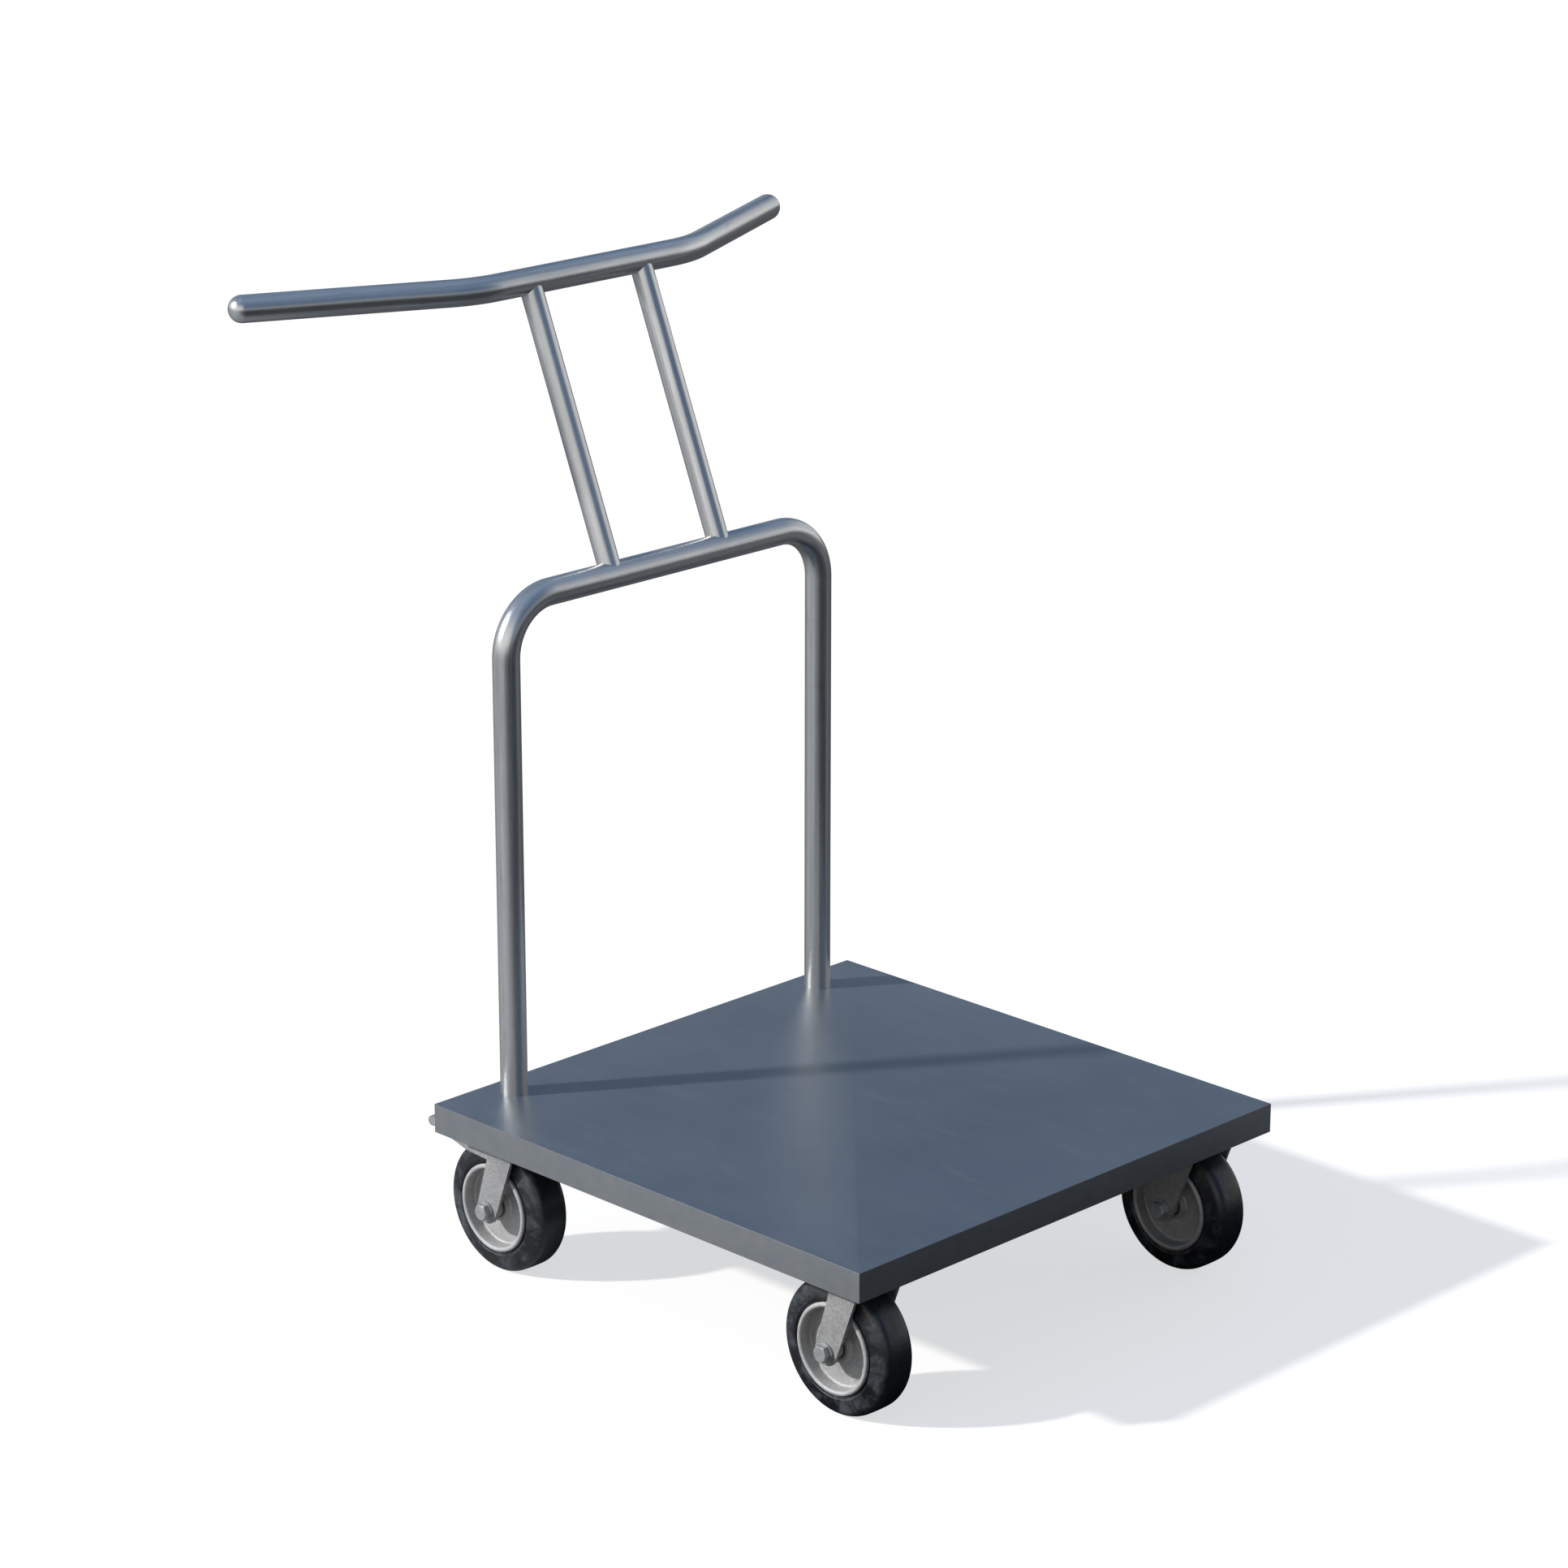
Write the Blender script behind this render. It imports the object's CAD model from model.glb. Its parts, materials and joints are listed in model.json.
"""Finishes, floor, light and camera for the airport luggage trolley.

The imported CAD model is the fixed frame. Here its tubes, deck and wheels get finer meshes, its
forks, plates, axle bolts and brake levers get rounded edges, and every surface gets a procedural
material. Everything is in metres, in the frame of the CAD: +X is the way the trolley is pushed,
+Y is the pusher's left and +Z is up.
"""
import json
import math

import bmesh
import bpy
from mathutils import Matrix, Vector


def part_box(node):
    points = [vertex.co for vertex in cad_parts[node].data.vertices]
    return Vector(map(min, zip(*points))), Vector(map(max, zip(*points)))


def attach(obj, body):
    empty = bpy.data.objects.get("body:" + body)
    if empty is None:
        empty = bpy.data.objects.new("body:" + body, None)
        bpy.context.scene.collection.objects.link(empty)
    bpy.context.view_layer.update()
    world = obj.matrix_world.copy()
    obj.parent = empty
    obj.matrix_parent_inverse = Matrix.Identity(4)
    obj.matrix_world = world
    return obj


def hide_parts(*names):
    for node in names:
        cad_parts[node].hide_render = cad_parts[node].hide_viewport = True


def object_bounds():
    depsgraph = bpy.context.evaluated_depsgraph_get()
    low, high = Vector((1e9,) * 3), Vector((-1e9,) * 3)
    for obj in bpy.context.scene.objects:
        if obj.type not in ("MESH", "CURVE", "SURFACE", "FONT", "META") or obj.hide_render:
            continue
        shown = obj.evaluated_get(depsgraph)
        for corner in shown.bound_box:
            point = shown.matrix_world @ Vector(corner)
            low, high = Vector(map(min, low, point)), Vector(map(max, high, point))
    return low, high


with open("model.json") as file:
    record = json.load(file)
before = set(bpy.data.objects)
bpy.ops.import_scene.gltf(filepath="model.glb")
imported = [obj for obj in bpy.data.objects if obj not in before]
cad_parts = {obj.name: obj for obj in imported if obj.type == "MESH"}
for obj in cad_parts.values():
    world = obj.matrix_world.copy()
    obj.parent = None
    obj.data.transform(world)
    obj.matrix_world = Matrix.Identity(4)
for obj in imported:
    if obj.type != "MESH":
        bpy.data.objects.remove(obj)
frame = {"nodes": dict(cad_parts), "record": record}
cad_low, cad_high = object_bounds()
NODES = frame["nodes"]
CORNERS = ("front_left", "front_right", "rear_left", "rear_right")
REAR_CORNERS = CORNERS[2:]
MM = 0.001

# ---------------------------------------------------------------- camera

CAMERA_AZIMUTH = math.radians(44.95)
CAMERA_ELEVATION = math.radians(18.0)
CAMERA_DISTANCE = 5.5
CAMERA_LENS = 109.7
SENSOR_WIDTH = 36.0
AIM_OFFSET = Vector((-0.0034, 0.0039, -0.0016))


def add_camera():
    data = bpy.data.cameras.new("camera")
    data.lens = CAMERA_LENS
    data.sensor_width = SENSOR_WIDTH
    data.clip_end = 100.0
    camera = bpy.data.objects.new("camera", data)
    bpy.context.scene.collection.objects.link(camera)
    flat = math.cos(CAMERA_ELEVATION)
    back = Vector((math.sin(CAMERA_AZIMUTH) * flat, -math.cos(CAMERA_AZIMUTH) * flat,
                   math.sin(CAMERA_ELEVATION)))
    camera.location = (cad_low + cad_high) / 2 + AIM_OFFSET + back * CAMERA_DISTANCE
    camera.rotation_mode = "QUATERNION"
    camera.rotation_quaternion = (-back).to_track_quat("-Z", "Y")
    bpy.context.scene.camera = camera


# ---------------------------------------------------------------- material building


class Finish:
    """A new material with a Principled shader, and short calls for the nodes that feed it."""

    def __init__(self, name, **constants):
        self.material = bpy.data.materials.new(name)
        self.material.use_nodes = True
        self.nodes = self.material.node_tree.nodes
        self.links = self.material.node_tree.links
        self.shader = self.nodes["Principled BSDF"]
        for socket, value in constants.items():
            self.shader.inputs[socket.replace("_", " ")].default_value = value
        coordinates = self.nodes.new("ShaderNodeTexCoord")
        self.position = coordinates.outputs["Object"]
        self.facing = coordinates.outputs["Normal"]

    def node(self, kind, inputs=None, **settings):
        made = self.nodes.new("ShaderNode" + kind)
        for key, value in settings.items():
            setattr(made, key, value)
        for key, value in (inputs or {}).items():
            self.put(made.inputs[key], value)
        return made

    def put(self, socket, value):
        if isinstance(value, bpy.types.NodeSocket):
            self.links.new(value, socket)
        else:
            socket.default_value = value

    def attribute(self, name):
        return self.node("Attribute", attribute_name=name).outputs["Vector"]

    def apart(self, vector):
        """The vector moved by a different amount on each object, so that no two look the same."""
        shift = self.math("MULTIPLY", self.node("ObjectInfo").outputs["Random"], 10.0)
        return self.node("VectorMath", {0: vector, 1: shift}, operation="ADD").outputs["Vector"]

    def stretch(self, vector, scale):
        return self.node("Mapping", {"Vector": vector, "Scale": scale}).outputs["Vector"]

    def noise(self, vector, scale, detail=4.0, roughness=0.55, distortion=0.0):
        inputs = {"Vector": vector, "Scale": scale, "Detail": detail, "Roughness": roughness,
                  "Distortion": distortion}
        return self.node("TexNoise", inputs).outputs["Fac"]

    def cells(self, vector, scale):
        return self.node("TexVoronoi", {"Vector": vector, "Scale": scale}).outputs["Distance"]

    def fit(self, value, low, high, out_low=0.0, out_high=1.0):
        inputs = {"Value": value, "From Min": low, "From Max": high, "To Min": out_low, "To Max": out_high}
        return self.node("MapRange", inputs).outputs["Result"]

    def math(self, operation, a, b=0.0):
        return self.node("Math", {0: a, 1: b}, operation=operation).outputs["Value"]

    def mix(self, share, a, b):
        made = self.node("Mix", data_type="RGBA")
        self.put(made.inputs["Factor"], share)
        self.put(made.inputs[6], a)
        self.put(made.inputs[7], b)
        return made.outputs[2]

    def axis(self, vector, name):
        return self.node("SeparateXYZ", {"Vector": vector}).outputs[name]

    def bump(self, height, strength, distance, under=None):
        inputs = {"Height": height, "Strength": strength, "Distance": distance}
        if under is not None:
            inputs["Normal"] = under
        return self.node("Bump", inputs).outputs["Normal"]

    def colour(self, value):
        self.put(self.shader.inputs["Base Color"], value)

    def roughness(self, value):
        self.put(self.shader.inputs["Roughness"], value)

    def normal(self, value):
        self.put(self.shader.inputs["Normal"], value)


def grey(value, tint=0.0):
    """A linear grey, cooler as tint grows and warmer below zero."""
    return (value * (1 - tint), value, value * (1 + tint), 1.0)


def deck_paint():
    """Slate-blue satin enamel with faint smudges, rub marks and a light orange peel."""
    f = Finish("deck_paint", Metallic=0.35, IOR=1.5, Coat_Weight=1.0, Coat_IOR=1.7, Coat_Roughness=0.36)
    clouds = f.noise(f.position, 5.0, 6.0, 0.6)
    smears = f.noise(f.stretch(f.position, (3.0, 14.0, 8.0)), 4.0, 6.0, 0.65, 0.8)
    rubbed = f.fit(smears, 0.50, 0.80)
    base = f.mix(f.fit(clouds, 0.3, 0.7), (0.060, 0.070, 0.086, 1), (0.079, 0.091, 0.109, 1))
    base = f.mix(f.math("MULTIPLY", rubbed, 0.4), base, (0.13, 0.14, 0.15, 1))
    mottle = f.noise(f.position, 14.0, 5.0, 0.6)
    upright = f.math("LESS_THAN", f.math("ABSOLUTE", f.axis(f.facing, "Z")), 0.3)
    grime = f.noise(f.position, 60.0, 8.0, 0.7)
    chips = f.fit(f.noise(f.position, 150.0, 4.0, 0.6), 0.64, 0.70)
    sides = f.mix(f.fit(grime, 0.35, 0.75), (0.092, 0.100, 0.110, 1), (0.117, 0.123, 0.127, 1))
    sides = f.mix(f.math("MULTIPLY", chips, 0.5), sides, (0.065, 0.07, 0.078, 1))
    f.colour(f.mix(upright, base, sides))
    f.roughness(f.math("ADD", f.fit(mottle, 0.3, 0.7, 0.33, 0.40), f.math("MULTIPLY", rubbed, 0.05)))
    peel = f.noise(f.position, 300.0, 2.0)
    f.normal(f.bump(peel, 0.04, 0.0003))
    return f.material


def brushed_steel(name, tube):
    """Brushed steel. On a tube, the attribute holds each point as if the tube were straight."""
    f = Finish(name, Metallic=0.90)
    straight = f.attribute("straight") if tube else f.position
    fine = f.noise(f.stretch(straight, (700.0, 700.0, 4.0)), 1.0, 5.0, 0.75)
    streaks = f.noise(f.stretch(straight, (190.0, 190.0, 1.7)), 1.0, 6.0, 0.7)
    cloud = f.noise(straight, 9.0, 5.0, 0.6)
    stains = f.fit(f.noise(f.stretch(straight, (95.0, 95.0, 11.0)), 1.0, 6.0, 0.7, 0.6), 0.54, 0.72)
    base = f.mix(f.fit(streaks, 0.28, 0.72), (0.40, 0.405, 0.405, 1), (0.66, 0.66, 0.65, 1))
    base = f.mix(f.fit(fine, 0.55, 0.80, 0.0, 0.45), base, (0.30, 0.31, 0.32, 1))
    base = f.mix(f.math("MULTIPLY", stains, 0.40), base, (0.27, 0.275, 0.28, 1))
    f.colour(f.mix(f.fit(cloud, 0.4, 0.8, 0.0, 0.30), base, (0.46, 0.465, 0.47, 1)))
    f.roughness(f.math("ADD", f.fit(streaks, 0.25, 0.75, 0.23, 0.33), f.fit(cloud, 0.4, 0.8, 0.0, 0.06)))
    dings = f.fit(f.cells(f.stretch(straight, (1.0, 1.0, 0.35)), 26.0), 0.0, 0.10)
    waves = f.noise(straight, 22.0, 2.0)
    normal = f.bump(streaks, 0.12, 0.0003)
    normal = f.bump(dings, 0.25, 0.0004, normal)
    f.normal(f.bump(waves, 0.12, 0.002, normal))
    return f.material


def zinc(name, dark, light, metallic, speckle=0.5):
    """Zinc-plated pressed steel: cloudy, speckled and finely scratched."""
    f = Finish(name, Metallic=metallic)
    place = f.apart(f.position)
    cloud = f.noise(place, 38.0, 6.0, 0.65, 0.3)
    grain = f.noise(place, 420.0, 3.0, 0.7)
    spots = f.fit(f.cells(place, 260.0), 0.0, 0.18, 1.0, 0.0)
    scratch = f.noise(f.stretch(place, (30.0, 900.0, 900.0)), 1.0, 3.0, 0.6)
    base = f.mix(f.fit(cloud, 0.3, 0.7), dark, light)
    base = f.mix(f.fit(grain, 0.35, 0.75, 0.0, 0.30), base, grey(0.62, 0.02))
    marks = f.math("MULTIPLY", spots, speckle)
    f.colour(f.mix(marks, base, grey(0.09, 0.02)))
    f.roughness(f.math("ADD", f.fit(cloud, 0.3, 0.7, 0.46, 0.60), f.math("MULTIPLY", spots, 0.15)))
    normal = f.bump(grain, 0.12, 0.0002)
    f.normal(f.bump(scratch, 0.10, 0.0002, normal))
    return f.material


def bolt_steel():
    f = Finish("bright_zinc", Metallic=0.7)
    cloud = f.noise(f.position, 120.0, 5.0, 0.65)
    turned = f.noise(f.position, 900.0, 2.0)
    f.colour(f.mix(f.fit(cloud, 0.3, 0.7), (0.26, 0.27, 0.27, 1), (0.42, 0.425, 0.42, 1)))
    f.roughness(f.fit(cloud, 0.3, 0.7, 0.42, 0.54))
    f.normal(f.bump(turned, 0.08, 0.0001))
    return f.material


def polished_steel():
    f = Finish("ball_steel", Metallic=1.0)
    cloud = f.noise(f.position, 200.0, 4.0)
    f.colour(f.mix(cloud, (0.48, 0.48, 0.49, 1), (0.66, 0.66, 0.67, 1)))
    f.roughness(f.fit(cloud, 0.3, 0.7, 0.10, 0.22))
    return f.material


def bearing_bronze():
    f = Finish("bearing_bronze", Metallic=1.0)
    cloud = f.noise(f.position, 150.0, 5.0)
    f.colour(f.mix(cloud, (0.10, 0.085, 0.065, 1), (0.20, 0.17, 0.13, 1)))
    f.roughness(f.fit(cloud, 0.3, 0.7, 0.35, 0.5))
    return f.material


def tyre_rubber():
    """Black rubber: a smooth, faintly glossy tread and dusty, stained sidewalls."""
    f = Finish("tyre_rubber", IOR=1.5)
    across = f.math("ABSOLUTE", f.axis(f.position, "Y"))
    side = f.fit(across, 0.0165, 0.0225)
    place = f.apart(f.position)
    dust = f.noise(place, 42.0, 8.0, 0.68, 0.6)
    patches = f.noise(place, 120.0, 6.0, 0.7)
    specks = f.fit(f.cells(place, 330.0), 0.0, 0.14, 1.0, 0.0)
    clean = f.mix(patches, (0.006, 0.007, 0.009, 1), (0.012, 0.0135, 0.017, 1))
    dusty = f.mix(f.fit(dust, 0.47, 0.70), (0.0022, 0.0028, 0.0038, 1), (0.042, 0.046, 0.051, 1))
    scuffs = f.fit(f.noise(place, 60.0, 9.0, 0.8, 1.5), 0.60, 0.72)
    dusty = f.mix(f.math("MULTIPLY", scuffs, 0.55), dusty, (0.075, 0.078, 0.080, 1))
    dusty = f.mix(f.math("MULTIPLY", specks, 0.45), dusty, (0.10, 0.10, 0.10, 1))
    tread = f.mix(f.math("MULTIPLY", f.fit(dust, 0.55, 0.8), 0.25), clean, (0.035, 0.036, 0.038, 1))
    f.colour(f.mix(side, tread, dusty))
    f.roughness(f.math("ADD", f.fit(patches, 0.3, 0.7, 0.28, 0.46), f.math("MULTIPLY", side, 0.06)))
    normal = f.bump(f.noise(place, 55.0, 5.0, 0.6), 0.35, 0.0015)
    normal = f.bump(patches, 0.30, 0.0005, normal)
    f.normal(f.bump(f.noise(place, 520.0, 3.0, 0.7), 0.15, 0.0002, normal))
    return f.material


def shoe_rubber():
    f = Finish("shoe_rubber")
    grain = f.noise(f.position, 300.0, 5.0, 0.7)
    f.colour(f.mix(grain, (0.012, 0.012, 0.013, 1), (0.04, 0.04, 0.041, 1)))
    f.roughness(f.fit(grain, 0.3, 0.7, 0.6, 0.8))
    f.normal(f.bump(grain, 0.3, 0.0003))
    return f.material


FINISHES = {
    "deck_paint": deck_paint(),
    "brushed_tube": brushed_steel("brushed_tube", True),
    "cap_steel": brushed_steel("cap_steel", False),
    "fork_zinc": zinc("fork_zinc", grey(0.16, -0.02), grey(0.24, -0.02), 0.45),
    "rim_zinc": zinc("rim_zinc", grey(0.225, -0.02), grey(0.325, -0.02), 0.38, 0.35),
    "bright_zinc": bolt_steel(),
    "ball_steel": polished_steel(),
    "bearing_bronze": bearing_bronze(),
    "tyre_rubber": tyre_rubber(),
    "shoe_rubber": shoe_rubber(),
}
SLOT_OF = {part["node"]: part["material_slot"] for part in frame["record"]["subparts"]}


def finish_cad_nodes():
    for name, piece in NODES.items():
        material = FINISHES[SLOT_OF[name]]
        piece.data.materials.clear()
        piece.data.materials.append(material)


add_camera()
finish_cad_nodes()


# ---------------------------------------------------------------- mesh building


def new_piece(name, mesh, body, slot, replaced=(), place=None, smooth_angle=35):
    """Puts a mesh in the scene with its body, its slot's finish and the CAD nodes it stands for."""
    piece = bpy.data.objects.new(name, mesh)
    bpy.context.scene.collection.objects.link(piece)
    if place is not None:
        piece.matrix_world = place
    mesh.materials.clear()
    mesh.materials.append(FINISHES[slot])
    mesh.shade_smooth()
    mesh.set_sharp_from_angle(angle=math.radians(smooth_angle))
    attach(piece, body)
    if replaced:
        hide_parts(*replaced)
    return piece


def keep_flats_flat(piece):
    """Large faces set the shading at their corners, so a narrow rounded edge doesn't tint them."""
    even = piece.modifiers.new("flats", "WEIGHTED_NORMAL")
    even.keep_sharp = True
    even.weight = 100


def skin(shape, rings):
    """Faces between each ring of corners and the next."""
    count = len(rings[0])
    for here, after in zip(rings, rings[1:]):
        for k in range(count):
            shape.faces.new((here[k], here[(k + 1) % count], after[(k + 1) % count], after[k]))


def mesh_of(shape, name):
    """The finished mesh of a shape, with its faces turned outwards."""
    mesh = bpy.data.meshes.new(name)
    bmesh.ops.recalc_face_normals(shape, faces=shape.faces)
    shape.to_mesh(mesh)
    shape.free()
    return mesh


def lathe(profile, steps):
    """A mesh turned about its local Y axis from the points (radius, y) of a closed section."""
    shape = bmesh.new()
    rings = []
    for i in range(steps):
        turn = 2 * math.pi * i / steps
        rings.append([shape.verts.new((r * math.cos(turn), y, r * math.sin(turn))) for r, y in profile])
    skin(shape, rings + rings[:1])
    return mesh_of(shape, "turned")


def arc(centre, radius, start, end, steps):
    """Points (a, b) of an arc, with its angles in degrees."""
    turns = [math.radians(start + (end - start) * i / steps) for i in range(steps + 1)]
    return [(centre[0] + radius * math.cos(t), centre[1] + radius * math.sin(t)) for t in turns]


def bent_path(corners, bend_radius, bend_steps):
    """Points and directions along a line through corners, each rounded to bend_radius."""
    straight_step = 40 * MM
    points, directions = [], []

    def run(start, end):
        length = (end - start).length
        count = max(1, round(length / straight_step))
        for i in range(count + 1):
            points.append(start.lerp(end, i / count))
            directions.append((end - start).normalized())

    start = corners[0]
    for before, corner, after in zip(corners, corners[1:], corners[2:]):
        into, out = (corner - before).normalized(), (after - corner).normalized()
        turn = into.angle(out)
        setback = bend_radius * math.tan(turn / 2)
        run(start, corner - into * setback)
        normal = into.cross(out).normalized()
        centre = corner - into * setback + normal.cross(into) * bend_radius
        arm = corner - into * setback - centre
        for i in range(1, bend_steps):
            swing = Matrix.Rotation(turn * i / bend_steps, 3, normal)
            points.append(centre + swing @ arm)
            directions.append(swing @ into)
        start = corner + out * setback
    run(start, corners[-1])
    return points, directions


TUBE_SIDES = 72


def tube_mesh(corners, radius, bend_radius=0.0, bend_steps=1, phase=0.0, bore=0.0):
    """A tube swept along a flat path, with an attribute that holds it as if it were straight.
    With a bore, its two ends are open down to a plug a little way in."""
    points, directions = bent_path(corners, bend_radius, bend_steps)
    plane = Vector((0, 1, 0))
    if len(corners) > 2:
        plane = (corners[1] - corners[0]).cross(corners[2] - corners[1]).normalized()
    stations, s = [], 0.0
    for i, (point, direction) in enumerate(zip(points, directions)):
        s += (point - points[i - 1]).length if i else 0.0
        stations.append((point, direction, radius, s))
    if bore:
        depth = 30 * MM
        first, last = stations[0], stations[-1]
        head = [(first[0] + first[1] * d, first[1], bore, first[3]) for d in (depth, 0.0)]
        tail = [(last[0] - last[1] * d, last[1], bore, last[3]) for d in (0.0, depth)]
        stations = head + stations + tail
    shape = bmesh.new()
    straight = shape.verts.layers.float_vector.new("straight")
    rings = []
    for point, direction, reach, s in stations:
        across = direction.cross(plane)
        ring = []
        for k in range(TUBE_SIDES):
            turn = 2 * math.pi * k / TUBE_SIDES
            c, n = math.cos(turn), math.sin(turn)
            vert = shape.verts.new(point + (plane * c + across * n) * reach)
            vert[straight] = (reach * c + phase, reach * n, s + phase)
            ring.append(vert)
        rings.append(ring)
    skin(shape, rings)
    shape.faces.new(rings[0])
    shape.faces.new(rings[-1])
    return mesh_of(shape, "tube")


# ---------------------------------------------------------------- frame tubes

FRAME_BEND = 67 * MM
HANDLE_BEND = 140 * MM
HANDLE_MID_HALF = 169 * MM
HANDLE_SWEEP = math.radians(25.4)
TUBE_WALL = 2 * MM
CAP_SKIRT = 4 * MM
CAP_CLEARANCE = 0.2 * MM


def centre_of(low, high):
    return (low + high) / 2


def add_frame_tubes():
    low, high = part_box("push_frame")
    radius = (high.x - low.x) / 2
    x, rail_z, leg_y = centre_of(low, high).x, high.z - radius, high.y - radius
    frame_corners = [Vector((x, -leg_y, low.z)), Vector((x, -leg_y, rail_z)),
                     Vector((x, leg_y, rail_z)), Vector((x, leg_y, low.z))]
    frame_tube = tube_mesh(frame_corners, radius, FRAME_BEND, 30, bore=radius - TUBE_WALL)
    new_piece("push_frame_tube", frame_tube, "root", "brushed_tube", ["push_frame"])

    bar_low, bar_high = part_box("handlebar")
    bar_x, bar_z = bar_high.x - radius, centre_of(bar_low, bar_high).z
    for name, phase in (("left_riser", 0.31), ("right_riser", 0.57)):
        riser_low, riser_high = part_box(name)
        y, riser_radius = centre_of(riser_low, riser_high).y, (riser_high.y - riser_low.y) / 2
        ends = [Vector((x, y, rail_z)), Vector((bar_x, y, bar_z))]
        new_piece(name + "_tube", tube_mesh(ends, riser_radius, phase=phase), "root", "brushed_tube", [name])

    end_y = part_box("left_handle_cap")[1].y - radius
    reach = (end_y - HANDLE_MID_HALF) / math.cos(HANDLE_SWEEP)
    end_x = bar_x - reach * math.sin(HANDLE_SWEEP)
    bar_corners = [Vector((end_x, -end_y, bar_z)), Vector((bar_x, -HANDLE_MID_HALF, bar_z)),
                   Vector((bar_x, HANDLE_MID_HALF, bar_z)), Vector((end_x, end_y, bar_z))]
    bar = tube_mesh(bar_corners, radius, HANDLE_BEND, 24, phase=0.83)
    new_piece("handlebar_tube", bar, "root", "brushed_tube", ["handlebar"])

    axis_r = 0.001 * radius
    inside = radius - CAP_CLEARANCE
    skirt = [(axis_r, -CAP_SKIRT), (inside, -CAP_SKIRT), (inside, 0.0)]
    dome = [(radius * math.cos(t), radius * math.sin(t)) for t in (math.pi / 2 * i / 20 for i in range(20))]
    for side, name in ((1, "left_handle_cap"), (-1, "right_handle_cap")):
        mesh = lathe(skirt + dome + [(axis_r, radius)], TUBE_SIDES)
        turn = HANDLE_SWEEP if side > 0 else math.pi - HANDLE_SWEEP
        mesh.transform(Matrix.Translation((end_x, side * end_y, bar_z)) @ Matrix.Rotation(turn, 4, "Z"))
        new_piece(name + "_dome", mesh, "root", "cap_steel", [name])


# ---------------------------------------------------------------- deck

DECK_EDGE = 0.35 * MM
DECK_LIP = 0.3 * MM
DECK_INNER_CORNER = 0.2 * MM
SHEET = 2.5 * MM


def add_deck():
    """The tray as one folded sheet with rounded folds. The CAD's two leg holes are left out here,
    because the legs fill them."""
    low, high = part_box("deck_tray")
    middle = centre_of(low, high)
    half = high.x - middle.x
    bend = [(half - DECK_EDGE + DECK_EDGE * math.cos(t), high.z - DECK_EDGE + DECK_EDGE * math.sin(t))
            for t in (math.pi / 2 * i / 5 for i in range(6))]
    rings = [(half - SHEET, high.z - SHEET), (half - SHEET, low.z + DECK_LIP),
             (half - SHEET + DECK_LIP, low.z), (half - DECK_LIP, low.z), (half, low.z + DECK_LIP)] + bend
    shape = bmesh.new()
    loops = []
    for reach, z in rings:
        corner = DECK_EDGE - (half - reach) if reach > half - DECK_EDGE else DECK_INNER_CORNER
        loop = []
        for q, (sx, sy) in enumerate(((1, 1), (-1, 1), (-1, -1), (1, -1))):
            for i in range(7):
                turn = math.radians(90 * q + 15 * i)
                x = middle.x + sx * (reach - corner) + corner * math.cos(turn)
                y = middle.y + sy * (reach - corner) + corner * math.sin(turn)
                loop.append(shape.verts.new((x, y, z)))
        loops.append(loop)
    skin(shape, loops)
    shape.faces.new(loops[0])
    shape.faces.new(loops[-1])
    sheet = mesh_of(shape, "deck")
    new_piece("deck_tray_sheet", sheet, "root", "deck_paint", ["deck_tray"], smooth_angle=10)


# ---------------------------------------------------------------- wheels

RIM_WALL = 47.5 * MM
RING = 3 * MM
RING_Y = 24.5 * MM
HUB = 17.5 * MM
HUB_HALF = 19 * MM


def tyre_profile(radius, half_width):
    """Half of the tyre's section: crowned tread, round shoulder, flared sidewall and bead."""
    shoulder, shoulder_y, crown_drop = 11 * MM, 11.8 * MM, 0.25 * MM
    crown = [(radius - crown_drop * (y / shoulder_y) ** 2, y) for y in (0, 4 * MM, 8 * MM)]
    turn = arc((radius - crown_drop - shoulder, shoulder_y), shoulder, 0, 76, 14)
    bulge = arc((58.5 * MM, half_width - 2.5 * MM), 2.5 * MM, 80, 165, 8)
    return crown + turn + bulge + [(54.3 * MM, 23.0 * MM), (53.9 * MM, 21.5 * MM), (50 * MM, 20.5 * MM)]


def rim_profile():
    """One pressed half of the rim in section, with a rounded corner between floor and wall."""
    corner, hub_edge, hub_foot = 3 * MM, 1.2 * MM, 2.5 * MM
    bore, floor_y, floor_hub_y = 13 * MM, 11.3 * MM, 13.2 * MM
    inside = arc((RIM_WALL - corner, floor_y + corner), corner, -90, 0, 6)
    ring = arc((RIM_WALL + RING, RING_Y), RING, 180, -50, 24)
    boss = arc((HUB - hub_edge, HUB_HALF - hub_edge), hub_edge, 90, 0, 5)
    root = arc((HUB + hub_foot, floor_hub_y + hub_foot), hub_foot, 180, 262, 5)
    return ([(bore, 0.0), (bore, HUB_HALF)] + boss + root + inside + ring
            + [(50 * MM, 21 * MM), (50 * MM, 0.0)])


def add_wheels():
    for corner in CORNERS:
        low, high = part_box(corner + "_tyre")
        centre, radius = centre_of(low, high), (high.z - low.z) / 2
        place = Matrix.Translation(centre)
        wheel = corner + "_wheel"
        half = tyre_profile(radius, (high.y - low.y) / 2)
        tyre_mesh = lathe(half + [(r, -y) for r, y in reversed(half[1:])], 160)
        new_piece(corner + "_tyre_rubber", tyre_mesh, wheel, "tyre_rubber", [corner + "_tyre"], place)
        section = rim_profile()
        rim_mesh = lathe(section + [(r, -y) for r, y in reversed(section[1:-1])], 128)
        rim = new_piece(corner + "_rim_steel", rim_mesh, wheel, "rim_zinc", [corner + "_rim"], place)
        keep_flats_flat(rim)


# ---------------------------------------------------------------- sheet and bolts with eased edges


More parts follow.
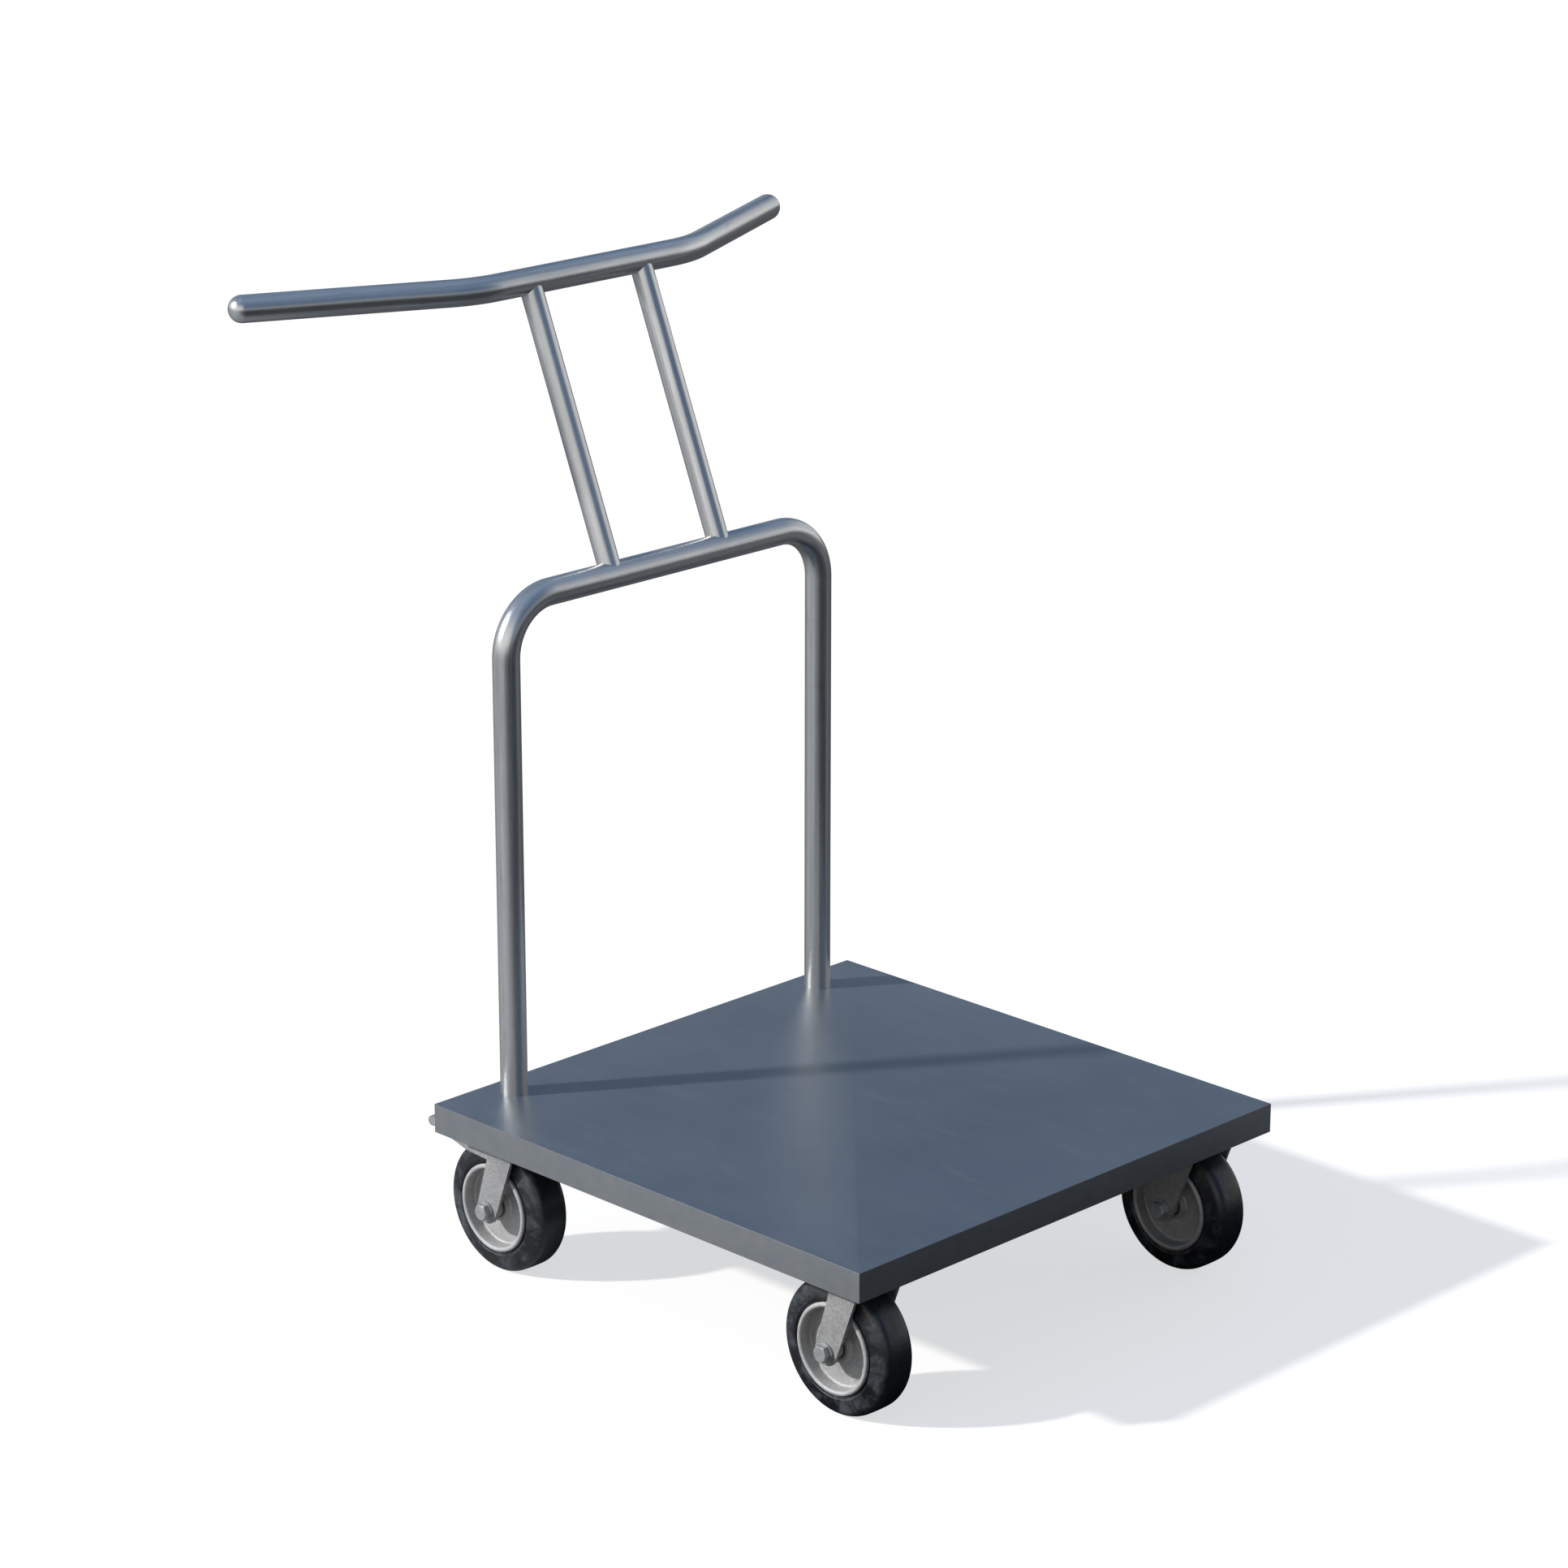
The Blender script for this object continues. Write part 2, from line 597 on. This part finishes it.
def eased_copy(node, body, width):
    """A copy of a CAD node whose sharp edges are rounded, to stand for it."""
    mesh = NODES[node].data.copy()
    shape = bmesh.new()
    shape.from_mesh(mesh)
    bmesh.ops.remove_doubles(shape, verts=shape.verts, dist=0.02 * MM)
    bmesh.ops.dissolve_limit(shape, angle_limit=math.radians(0.6), verts=shape.verts, edges=shape.edges)
    sharp = math.radians(30)
    edges = [e for e in shape.edges if e.is_manifold and e.calc_face_angle(0.0) > sharp]
    bmesh.ops.bevel(shape, geom=edges, offset=width, segments=2, profile=0.5, affect="EDGES",
                    clamp_overlap=True)
    shape.to_mesh(mesh)
    shape.free()
    keep_flats_flat(new_piece(node + "_eased", mesh, body, SLOT_OF[node], [node], smooth_angle=40))


add_frame_tubes()
add_deck()
add_wheels()
for corner in CORNERS:
    eased_copy(corner + "_fork", corner + "_castor", 0.5 * MM)
    eased_copy(corner + "_axle_bolt", corner + "_castor", 0.35 * MM)
    eased_copy(corner + "_top_plate", "root", 0.4 * MM)
for corner in REAR_CORNERS:
    eased_copy(corner + "_brake_lever", corner + "_brake", 0.4 * MM)

# ---------------------------------------------------------------- floor and light


SUN_AWAY = Vector((0.554, 0.832, -0.58))
# Name, strength and width. The key lights only diffuse colour, the wider and weaker glint only gloss
SUNS = (("key", 7.0, math.radians(2.5)), ("glint", 2.2, math.radians(26)))
# Clear sky by height: share 0.5 is the horizon, 1 is overhead
SKY = ((0.0, (0.09, 0.09, 0.09)), (0.47, (0.12, 0.12, 0.12)), (0.50, (0.50, 0.50, 0.50)),
       (0.56, (0.36, 0.41, 0.47)), (0.66, (0.075, 0.145, 0.26)), (0.82, (0.15, 0.25, 0.43)),
       (1.0, (0.20, 0.31, 0.50)))
# White haze over the same sky, by height and then by compass direction, where 0.5 is +X, 0.75 is +Y
HAZE = (1.22, 1.22, 1.20, 1.0)
HAZE_HEIGHT = ((0.49, 0.0), (0.52, 1.0), (0.66, 0.95), (0.78, 0.45), (0.88, 0.05))
HAZE_AROUND = ((0.0, 0.0), (0.10, 0.45), (0.20, 0.9), (0.405, 1.0), (0.425, 0.5), (0.44, 0.0), (0.60, 0.0),
               (0.615, 0.9), (0.70, 0.95), (0.78, 0.75), (0.83, 0.0))
BACKDROP = (1.0, 1.0, 1.0, 1.0)
# How bright the floor's lit colour is by compass direction as above: least in front of the trolley
FLOOR_AROUND = ((0.0, 0.10), (0.08, 0.26), (0.28, 0.29), (0.35, 0.10), (0.40, 0.02), (0.62, 0.02),
                (0.635, 0.17), (0.665, 0.17), (0.68, 0.08), (1.0, 0.08))
FLOOR_SEEN = (0.27, 0.26, 0.25, 1.0)
FLOOR_GLOW_COLOUR = (0.98, 0.99, 1.0, 1.0)
FLOOR_GLOW = 0.66
FLOOR_HALF = 30.0


def ramp_over(nodes, links, value, low, high, stops):
    """A colour ramp over a value that runs from low to high."""
    share = nodes.new("ShaderNodeMapRange")
    links.new(value, share.inputs["Value"])
    share.inputs["From Min"].default_value = low
    share.inputs["From Max"].default_value = high
    ramp = nodes.new("ShaderNodeValToRGB")
    links.new(share.outputs["Result"], ramp.inputs["Fac"])
    marks = ramp.color_ramp.elements
    while len(marks) < len(stops):
        marks.new(0.5)
    for mark, (place, colour) in zip(marks, stops):
        mark.position = place
        mark.color = (*colour, 1.0) if isinstance(colour, tuple) else (colour, colour, colour, 1.0)
    return ramp.outputs["Color"]


def compass(nodes, links, parts):
    """The angle about Z of a separated vector."""
    around = nodes.new("ShaderNodeMath")
    around.operation = "ARCTAN2"
    links.new(parts.outputs["Y"], around.inputs[0])
    links.new(parts.outputs["X"], around.inputs[1])
    return around.outputs["Value"]


def add_floor():
    """A plain pale floor. Seen by the camera it is pale; it throws back less light than it shows."""
    mesh = bpy.data.meshes.new("floor")
    signs = ((-1, -1), (1, -1), (1, 1), (-1, 1))
    mesh.from_pydata([(x * FLOOR_HALF, y * FLOOR_HALF, 0) for x, y in signs], [], [(0, 1, 2, 3)])
    floor = bpy.data.objects.new("floor", mesh)
    bpy.context.scene.collection.objects.link(floor)
    f = Finish("floor", Roughness=1.0, Specular_IOR_Level=0.0, Emission_Strength=FLOOR_GLOW)
    seen = f.node("LightPath").outputs["Is Camera Ray"]
    around = compass(f.nodes, f.links, f.node("SeparateXYZ", {"Vector": f.position}))
    thrown = ramp_over(f.nodes, f.links, around, -math.pi, math.pi, FLOOR_AROUND)
    f.colour(f.mix(seen, thrown, FLOOR_SEEN))
    f.put(f.shader.inputs["Emission Color"], f.mix(seen, (0, 0, 0, 1), FLOOR_GLOW_COLOUR))
    mesh.materials.append(f.material)


def add_lights():
    for name, energy, angle in SUNS:
        light = bpy.data.lights.new(name, "SUN")
        light.energy = energy
        light.angle = angle
        lamp = bpy.data.objects.new(name, light)
        bpy.context.scene.collection.objects.link(lamp)
        lamp.rotation_mode = "QUATERNION"
        lamp.rotation_quaternion = SUN_AWAY.to_track_quat("-Z", "Y")
        lamp.visible_diffuse = name == "key"
        lamp.visible_glossy = name == "glint"

    world = bpy.data.worlds.new("studio")
    bpy.context.scene.world = world
    world.use_nodes = True
    nodes, links = world.node_tree.nodes, world.node_tree.links
    direction = nodes.new("ShaderNodeTexCoord").outputs["Generated"]
    parts = nodes.new("ShaderNodeSeparateXYZ")
    links.new(direction, parts.inputs[0])
    haze = nodes.new("ShaderNodeMath")
    haze.operation = "MULTIPLY"
    links.new(ramp_over(nodes, links, parts.outputs["Z"], -1.0, 1.0, HAZE_HEIGHT), haze.inputs[0])
    around = compass(nodes, links, parts)
    links.new(ramp_over(nodes, links, around, -math.pi, math.pi, HAZE_AROUND), haze.inputs[1])

    def over(share, below, colour):
        mixed = nodes.new("ShaderNodeMix")
        mixed.data_type = "RGBA"
        links.new(share, mixed.inputs["Factor"])
        links.new(below, mixed.inputs[6])
        mixed.inputs[7].default_value = colour
        return mixed.outputs[2]

    sky = over(haze.outputs["Value"], ramp_over(nodes, links, parts.outputs["Z"], -1.0, 1.0, SKY), HAZE)
    seen = nodes.new("ShaderNodeLightPath").outputs["Is Camera Ray"]
    links.new(over(seen, sky, BACKDROP), nodes["Background"].inputs["Color"])


add_floor()
add_lights()
bpy.context.scene.view_settings.view_transform = "Standard"
